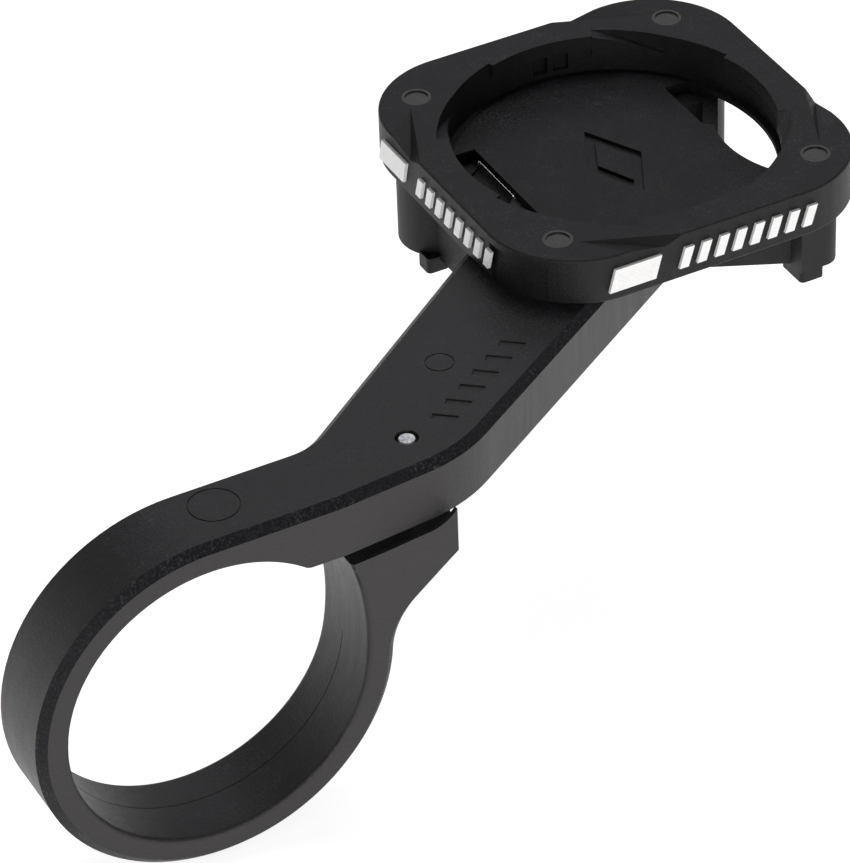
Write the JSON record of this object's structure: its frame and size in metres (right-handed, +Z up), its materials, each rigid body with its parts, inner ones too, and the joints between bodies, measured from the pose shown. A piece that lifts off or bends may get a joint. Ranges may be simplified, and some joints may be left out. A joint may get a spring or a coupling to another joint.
{
  "type": "out-front handlebar bracket for a cycling computer",
  "caption": "Out-front handlebar bracket: a split ring clamp with a screw, a bent arm and a square quarter-turn cradle that holds a cycling computer.",
  "frame": {"origin": "middle of the handlebar clamp's bore, on its axis and half way along it", "axes": "+X along the handlebar, +Y forward from the handlebar to the cradle, +Z up, out of the cradle's mouth"},
  "size_m": [0.0563, 0.1036, 0.0435],
  "materials": {
    "bracket_plastic": "satin, fine moulded grain",
    "cradle_plastic": "matte, fine moulded grain with scuffs",
    "pin_plastic": "dark, polished rim",
    "white_print": "raised white",
    "hardware_steel": "plated steel",
    "small_screw_steel": "blackened steel",
    "insert_brass": "turned brass"
  },
  "bodies": {
    "bracket": {"bracket_arm": "bracket_plastic", "thread_insert": "insert_brass", "computer_cradle": "cradle_plastic", "cradle_pins": "pin_plastic", "cradle_screws": "small_screw_steel", "side_marks": "white_print"},
    "jaw": {"clamp_jaw": "bracket_plastic"},
    "washer": {"clamp_washer": "hardware_steel"},
    "screw": {"clamp_screw": "hardware_steel"}
  },
  "joints": [
    {"name": "clamp_flex", "type": "hinge", "parent": "bracket", "child": "jaw", "pos_m": [0, -0.0162, 0], "axis": [1, 0, 0], "range_deg": [0, 1.4]},
    {"name": "screw_travel", "type": "slide", "parent": "bracket", "child": "washer", "axis": [0, 0, 1], "range_m": [0, 0.00097]},
    {"name": "screw_turn", "type": "hinge", "parent": "washer", "child": "screw", "pos_m": [-0.0009, 0.0239, 0.007], "axis": [0, 0, 1], "range_deg": [0, 700]}
  ],
  "couplings": [
    {"joint": "screw_turn", "follows": "screw_travel", "rad_per_m": 12566},
    {"joint": "clamp_flex", "follows": "screw_travel", "rad_per_m": 24.938}
  ]
}
